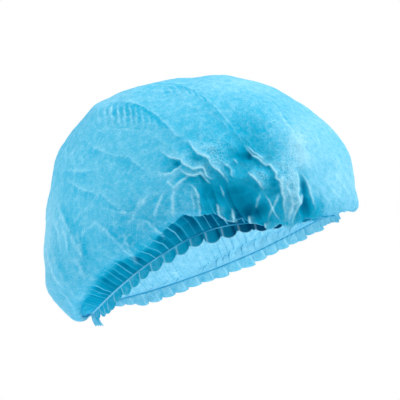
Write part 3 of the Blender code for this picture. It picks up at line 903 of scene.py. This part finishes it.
def packing_creases(tree, place, wander, unshaded):
    """Broken hair-thin creases, mostly upright, where the cloth has no painted shade."""
    upright = add_node(tree, "Mapping", None, {"Scale": (1.2, 1.2, 0.45), "Rotation": (0.3, 0.0, 0.0)},
                       {"Vector": place})
    clouds = add_node(tree, "TexNoise", None,
                      {"Scale": 1.0 / CREASE_SIZE, "Detail": 2.5, "Roughness": 0.55, "Distortion": 0.5},
                      {"Vector": upright})
    from_middle = add_node(tree, "Math", {"operation": "SUBTRACT"}, {1: 0.5}, {0: clouds})
    apart = add_node(tree, "Math", {"operation": "ABSOLUTE"}, None, {0: from_middle})
    lines = add_node(tree, "MapRange", None, {"From Max": 0.009, **FALLING}, {"Value": apart})
    kept = add_node(tree, "MapRange", None, {"From Min": 0.42, "From Max": 0.62, "To Max": 0.75},
                    {"Value": wander})
    bare = add_node(tree, "Math", {"operation": "MULTIPLY"}, None, {0: kept, 1: unshaded})
    return add_node(tree, "Math", {"operation": "MULTIPLY"}, None, {0: lines, 1: bare})


# %% Spunbond cloth
CLOUD_SIZE = 0.0042         # thick and thin places in the web
FIBRE_SIZE = 0.0008         # bundles of fibres, drawn coarser than the real 0.03 mm threads so that they show
# pale creases and painted light are mixed towards this colour
PALE_CREASE_AND_PAINTED_LIGHT = "#B0EBFC"        # bare light on the matt web
# the body dye at 0, then painted shade, deeper towards 1
DYE_THEN_PAINTED_SHADE = [(0.0, "#50C5E4"), (0.25, "#12B4DA"), (0.50, "#00ACD2"), (0.78, "#0099C0"), (1.0, "#005880")]


def dye_and_painted_shade(tree, layers):
    """The body dye, darkened by painted shade for a value from 0 to 1."""
    dyed = add_node(tree, "ValToRGB", links={"Fac": layers})
    stops = dyed.color_ramp.elements
    stops[0].color = from_hex(DYE_THEN_PAINTED_SHADE[0][1])
    stops[1].color = from_hex(DYE_THEN_PAINTED_SHADE[-1][1])
    for position, colour in DYE_THEN_PAINTED_SHADE[1:-1]:
        stops.new(position).color = from_hex(colour)
    return dyed


def spunbond(name, through, clear):
    """Dyed spunbond: through is the share of light that passes, clear the share that passes straight."""
    material, tree = new_material(name)
    place = add_node(tree, "TexCoord").outputs["Object"]
    crest, hollow, deep = (add_node(tree, "Attribute", {"attribute_name": word}).outputs["Fac"]
                           for word in ("crest", "hollow", "deep"))
    clouds = add_node(tree, "TexNoise", None,
                      {"Scale": 1.0 / CLOUD_SIZE, "Detail": 4.0, "Roughness": 0.65}, {"Vector": place})
    slanted = add_node(tree, "Mapping", None, {"Scale": (1.0, 0.45, 1.6), "Rotation": (0.5, 0.4, 0.9)},
                       {"Vector": place})
    fibres = add_node(tree, "TexNoise", None,
                      {"Scale": 1.0 / FIBRE_SIZE, "Detail": 3.0, "Roughness": 0.7}, {"Vector": slanted})
    web = add_node(tree, "Math", {"operation": "ADD"}, None, {0: fibres, 1: clouds})
    wander = add_node(tree, "TexNoise", None, {"Scale": 1.0 / WANDER_SIZE, "Detail": 1.0},
                      {"Vector": place})
    net = crease_net(tree, place)
    gathered = pleat_lines(tree, wander)
    # painted shade from the hollows, the deep attribute and the dark pleat lines, less on the pale ones, and
    # the share without it
    shaded = add_node(tree, "Math", {"operation": "MULTIPLY_ADD"}, {1: 0.35}, {0: hollow, 2: deep})
    layers = add_node(tree, "Math", {"operation": "SUBTRACT", "use_clamp": True}, None,
                      {0: shaded, 1: gathered})
    unshaded = add_node(tree, "MapRange", None, {"From Max": 0.8, **FALLING}, {"Value": layers})
    # the pale mottle of the web, the pale creases and the painted light carried by the crest attribute
    web_share = add_node(tree, "MapRange", None,
                         {"From Min": 0.70, "From Max": 1.30, "To Min": -0.32, "To Max": 0.48},
                         {"Value": web})
    net_bloom = add_node(tree, "Math", {"operation": "MULTIPLY_ADD"}, {1: 0.75}, {0: net, 2: web_share})
    web_bloom = add_node(tree, "Math", {"operation": "MULTIPLY"}, None, {0: net_bloom, 1: unshaded})
    packed = packing_creases(tree, place, wander, unshaded)
    pressed = add_node(tree, "Math", {"operation": "ADD"}, None, {0: packed, 1: crest})
    creased = add_node(tree, "Math", {"operation": "MULTIPLY_ADD"}, {1: 0.8}, {0: gathered, 2: pressed})
    crest_share = add_node(tree, "MapRange", None, {"To Min": 0.55, "To Max": 0.58}, {"Value": layers})
    pale_marks_and_painted_light = add_node(tree, "Math", {"operation": "MULTIPLY_ADD", "use_clamp": True}, None,
                     {0: creased, 1: crest_share, 2: web_bloom})
    tinted = add_node(tree, "Mix", {"data_type": "RGBA"}, {"B": from_hex(PALE_CREASE_AND_PAINTED_LIGHT)},
                      {"Factor": pale_marks_and_painted_light, "A": dye_and_painted_shade(tree, layers)}).outputs["Result"]
    # a matt web that passes more light where there is less painted shade
    raised = add_node(tree, "Math", {"operation": "MULTIPLY_ADD"}, {1: 0.9}, {0: net, 2: web})
    relief = add_node(tree, "Bump", None, {"Strength": 0.5, "Distance": 0.0006}, {"Height": raised})
    fuzz = add_node(tree, "MapRange", None, {"From Max": 0.5, "To Min": 0.38, "To Max": 0.0},
                    {"Value": layers})
    face = add_node(tree, "BsdfPrincipled", None,
                    {"Roughness": 0.8, "Specular IOR Level": 0.0, "Sheen Roughness": 0.4,
                     "Sheen Tint": from_hex("#EAF8FD")},
                    {"Base Color": tinted, "Normal": relief, "Sheen Weight": fuzz})
    glow = add_node(tree, "BsdfTranslucent", None, None, {"Color": tinted, "Normal": relief})
    passing = add_node(tree, "MapRange", None, {"To Min": through, "To Max": 0.12 * through},
                       {"Value": layers})
    cloth = add_node(tree, "MixShader", None, None, {0: passing, 1: face, 2: glow})
    gaps = add_node(tree, "BsdfTransparent", None, {"Color": (1.0, 1.0, 1.0, 1.0)})
    open_share = add_node(tree, "MapRange", None, {"To Min": clear, "To Max": 0.0}, {"Value": layers})
    whole = add_node(tree, "MixShader", None, None, {0: open_share, 1: cloth, 2: gaps})
    add_node(tree, "OutputMaterial", None, None, {"Surface": whole})
    return material


crown_cloth = spunbond("spunbond_polypropylene_web", 0.40, 0.04)
edge_cloth = spunbond("spunbond_polypropylene_folded_edge", 0.36, 0.03)

# %% Hand the crown over
hollow_measure(crown_mesh, passes=30, scale=0.0022)
crown = finish_piece(crown_mesh, "crown_cloth", crown_cloth, "crown")

# %% [markdown]
# ## Ruffles
# Past the elastic a centimetre of cloth is left free. The gathers open there into flat knife pleats that
# overlap like roof tiles, with a cut edge that looks scalloped. A grid strip is led along the elastic, and
# each pleat steps out, runs back over itself and steps in again.

# %% Ruffle maker
RUFFLE_COLUMNS = PLEATS_A_SIDE * 22
RUFFLE_STEPS = 14
FACE_SHARE = 0.62           # share of a pleat's cloth that is in its outer face
UNEVEN = 0.24               # how much the pleats differ in length


def end_fullness(around):
    """The free edge is pressed small at both seals, over a longer way at the brow."""
    from_brow = abs(turn_apart(around, 0.0)) - EDGE_TURN
    from_nape = 180.0 - 2 * EDGE_TURN - from_brow
    least = 0.20 if around % 360.0 < 180.0 else 0.50
    brow = least + (1.0 - least) * ease(from_brow / 62.0)
    nape = 0.30 + 0.70 * ease(from_nape / 34.0)
    return min(brow, nape)


def make_ruffle(name, first_turn, last_turn, replaced, notch, saw, swing, depth, painted_light):
    """One ruffle, its edge drawn up by notch at each fold and stepped by saw, its folds swung in and out.

    Depth is the painted shade where the ruffle lies in shade; the last argument is the painted light where
    light comes through it.
    """
    shape = bmesh.new()
    bmesh.ops.create_grid(shape, x_segments=RUFFLE_COLUMNS, y_segments=RUFFLE_STEPS, size=0.5, calc_uvs=True)
    crest_mark, hollow_mark, painted_shade_mark = new_layers(shape, "crest", "hollow", "deep")
    for vert in shape.verts:
        share, down = vert.co.x + 0.5, vert.co.y + 0.5
        place = share * PLEATS_A_SIDE
        number = math.floor(min(place, PLEATS_A_SIDE - 0.001))
        phase = place - number
        own = odd_share(number + first_turn, 3.0)
        lap = 0.10 * down * (0.7 + 0.6 * own)
        if phase < FACE_SHARE:
            along = phase / FACE_SHARE * (CREST_PHASE + lap)
            rise = -1.0 + 2.0 * phase / FACE_SHARE
        else:
            along = CREST_PHASE + lap + (phase - FACE_SHARE) / (1.0 - FACE_SHARE) * (1.0 - CREST_PHASE - lap)
            rise = 1.0 - 2.0 * (phase - FACE_SHARE) / (1.0 - FACE_SHARE)
        around = first_turn + (last_turn - first_turn) * (number + along) / PLEATS_A_SIDE
        full = end_fullness(around)
        from_seal = min(abs(math.sin(math.radians(around))) / 0.5, 1.0)
        beside = (-THREAD_SIDE if around < 180.0 else THREAD_SIDE) * from_seal
        wave = THREAD_TUCK * from_seal + swing * down ** 0.8 * (0.6 + 0.8 * own) * full
        from_fold = min(abs(phase - FACE_SHARE), abs(phase - FACE_SHARE + 1.0), abs(phase - FACE_SHARE - 1.0))
        drawn_up = 1.0 - math.sin(math.pi * min(phase / FACE_SHARE, 1.0)) ** 0.7
        length = 1.0 - notch * drawn_up + UNEVEN * (own - 0.5) + saw * (along - 0.5)
        lean = 0.0010 * math.sin(number * 1.7 + first_turn) * down * full
        drop = RUFFLE_DEEP * 1.07 * down * length * full - 0.0004
        vert.co = ring_point(around, beside + wave * rise + lean, -drop)
        # painted highlight on the fold edges and the cut edge, and painted light on a lit ruffle
        edges = 0.9 * bell(from_fold / 0.05) + 0.5 * bell((1.0 - down) / 0.05)
        vert[crest_mark] = edges + painted_light
        # painted shade where a pleat tucks under its neighbour
        vert[hollow_mark] = 0.5 * bell((phase - 0.05) / 0.12)
        # painted shade where the ruffle lies in shade
        shadow = (0.50 + 0.80 * bell((around - 46.0) / 34.0)) * ease((around - 18.0) / 18.0)
        vert[painted_shade_mark] = depth * shadow
    bmesh.ops.recalc_face_normals(shape, faces=shape.faces)
    ruffle = finish_piece(shape, name, edge_cloth, replaced)


# the near ruffle is the shaded copy and the far one the lit copy: painted shade and painted light
make_ruffle("right_ruffle_cloth", EDGE_TURN, 180.0 - EDGE_TURN, "right_ruffle",
            notch=0.34, saw=0.16, swing=0.0009, depth=0.76, painted_light=0.0)
make_ruffle("left_ruffle_cloth", 180.0 + EDGE_TURN, 360.0 - EDGE_TURN, "left_ruffle",
            notch=0.10, saw=0.16, swing=0.0008, depth=0.05, painted_light=0.46)

# %% [markdown]
# ## Elastic threads
# Each thread lies in a line of tiny tucks and shows as a thin bright cord with a slight twist. The packed
# solid already has its true path, so the thread keeps that solid and only gets its finish. The near thread
# turns paler towards the nape. The far one is seen against lit cloth and looks darker, so the two threads get
# lit and shaded copies of one finish: painted light and painted shade.

# %% Elastic finish
def thread_finish(name, dark, light, nape_colour):
    """Elastic under a covering yarn with slanted turns, blended into a third colour near the nape end."""
    material, tree = new_material(name)
    spot = add_node(tree, "TexCoord").outputs["Object"]
    twist = add_node(tree, "TexWave", {"wave_type": "BANDS", "bands_direction": "DIAGONAL"},
                     {"Scale": 120.0, "Distortion": 1.5}, {"Vector": spot}).outputs["Fac"]
    dye = add_node(tree, "Mix", {"data_type": "RGBA"}, {"A": from_hex(dark), "B": from_hex(light)},
                   {"Factor": twist})
    along = add_node(tree, "SeparateXYZ", None, None, {"Vector": spot})
    to_nape = add_node(tree, "MapRange", None, {"From Min": -0.02, "From Max": 0.05, "To Max": 0.7},
                       {"Value": along.outputs["Y"]})
    tinted = add_node(tree, "Mix", {"data_type": "RGBA"}, {"B": from_hex(nape_colour)},
                      {"Factor": to_nape, "A": dye.outputs["Result"]})
    raised = add_node(tree, "Bump", None, {"Strength": 0.5, "Distance": 0.0003}, {"Height": twist})
    skin = add_node(tree, "BsdfPrincipled", None, {"Roughness": 0.6, "Specular IOR Level": 0.1},
                    {"Base Color": tinted.outputs["Result"], "Normal": raised})
    add_node(tree, "OutputMaterial", None, None, {"Surface": skin})
    return material


THREADS = {
    # node of the imported part: dark and light turns of the yarn, and its colour near the nape
    # the near thread gets the lit copy and the far one the shaded copy: painted light and painted shade
    "right_elastic": thread_finish("covered_elastic_thread_near_lit", "#1496C6", "#4CC0E8", "#92E2FC"),
    "left_elastic": thread_finish("covered_elastic_thread", "#1FA0CE", "#58BEE2", "#3CB0D8"),
}
for node_name, finish in THREADS.items():
    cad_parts[node_name].data.materials.clear()
    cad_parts[node_name].data.materials.append(finish)


# %% [markdown]
# ## Seals
# At each end the whole stack of pleats is pressed flat between hot jaws. The seal is a short stiff tab with
# fine ribs where the pleats lie in it.

# %% Seal maker
def make_seal(name, around, wide_top, wide_bottom, deep, outside):
    """A pressed tab with ribs, flared to its lower end."""
    shape = bmesh.new()
    bmesh.ops.create_grid(shape, x_segments=36, y_segments=14, size=0.5, calc_uvs=True)
    crest_mark, hollow_mark = new_layers(shape, "crest", "hollow")
    centre = ring_point(around)
    outward = FORWARD * (1.0 if math.cos(math.radians(around)) > 0 else -1.0)
    for vert in shape.verts:
        across, down = vert.co.x, vert.co.y + 0.5
        wide = wide_top + (wide_bottom - wide_top) * down
        rib = math.cos(across * 2 * math.pi * 7.0)
        bend = 0.0009 * math.sin(down * 3.0) + 0.00028 * rib
        ragged = 1.0 + 0.05 * math.sin(across * 23.0)
        vert.co = (centre + SIDEWAYS * (wide * across) + outward * (bend + outside)
                   - UPWARD * (0.0003 + deep * down * ragged))
        # painted highlight on the rib tops and along the lower edge, painted shade between the ribs
        vert[crest_mark] = 0.2 + 0.5 * max(rib, 0.0) ** 2 + 0.4 * bell((1.0 - down) / 0.08)
        vert[hollow_mark] = 0.3 * max(-rib, 0.0)
    bmesh.ops.recalc_face_normals(shape, faces=shape.faces)
    finish_piece(shape, name, edge_cloth, name.replace("_tab", "_weld"))


make_seal("nape_tab", 180.0, 0.0090, 0.0130, 0.0110, 0.0010)
make_seal("brow_tab", 0.0, 0.0080, 0.0074, 0.0046, -0.0030)

# %% [markdown]
# ## Light and floor
# The picture is a bright product picture on white. A small soft light stands high on the brow's side, a wide
# one behind makes the cloth glow, and a weaker one on the nape's side keeps that end readable. The white
# room around is brighter above than below. The floor is a plain pale sheet well below.

# %% Floor
FLOOR_DEEP = 0.45           # far enough below to catch no shadow of the cap
floor_shape = bmesh.new()
bmesh.ops.create_grid(floor_shape, x_segments=2, y_segments=2, size=1.0)
bmesh.ops.translate(floor_shape, verts=floor_shape.verts, vec=(0.0, 0.0, -FLOOR_DEEP))
floor_mesh = bpy.data.meshes.new("floor")
floor_shape.to_mesh(floor_mesh)
floor_shape.free()
floor = bpy.data.objects.new("floor", floor_mesh)
bpy.context.collection.objects.link(floor)
floor_finish, tree = new_material("white_paper_sweep")
paper = add_node(tree, "BsdfPrincipled", None, {"Base Color": from_hex("#FCFCFC"), "Roughness": 0.9})
add_node(tree, "OutputMaterial", None, None, {"Surface": paper})
floor_mesh.materials.append(floor_finish)


# %% Lights
LIT_MIDDLE = Vector((0.0, 0.0, 0.04))       # what the lights look at


def soft_light(name, right, back, up, energy, size):
    """A square soft white light that looks at the cap, by metres to the eye's right, towards it and up."""
    data = bpy.data.lights.new(name, "AREA")
    data.energy, data.size = energy, size
    light = bpy.data.objects.new(name, data)
    bpy.context.collection.objects.link(light)
    light.location = eye_right * right + eye_back * back + Vector((0.0, 0.0, up))
    light.rotation_euler = (LIT_MIDDLE - light.location).to_track_quat("-Z", "Y").to_euler()


soft_light("brow_light", right=1.0, back=0.1, up=1.0, energy=13.5, size=0.35)
soft_light("back_light", right=0.1, back=-1.1, up=0.30, energy=9.0, size=0.9)
soft_light("nape_light", right=-1.2, back=0.4, up=0.7, energy=6.5, size=0.4)

# %% World
world = bpy.data.worlds.new("white_room")
bpy.context.scene.world = world
world.use_nodes = True
tree = world.node_tree
tree.nodes.clear()
facing = add_node(tree, "TexCoord").outputs["Generated"]
split = add_node(tree, "SeparateXYZ", None, None, {"Vector": facing})
height = add_node(tree, "MapRange", None, {"From Min": -0.5, "From Max": 0.7, "To Min": 0.40, "To Max": 0.84},
                  {"Value": split.outputs["Z"]})
path = add_node(tree, "LightPath")
seen = add_node(tree, "Background", None, {"Color": (1.0, 1.0, 1.0, 1.0), "Strength": 1.0})
felt = add_node(tree, "Background", None, {"Color": (1.0, 1.0, 1.0, 1.0)}, {"Strength": height})
both = add_node(tree, "MixShader", None, None, {0: path.outputs["Is Camera Ray"], 1: felt, 2: seen})
add_node(tree, "OutputWorld", None, None, {"Surface": both})
bpy.context.scene.view_settings.view_transform = "Standard"

# %% Update the scene
bpy.context.view_layer.update()
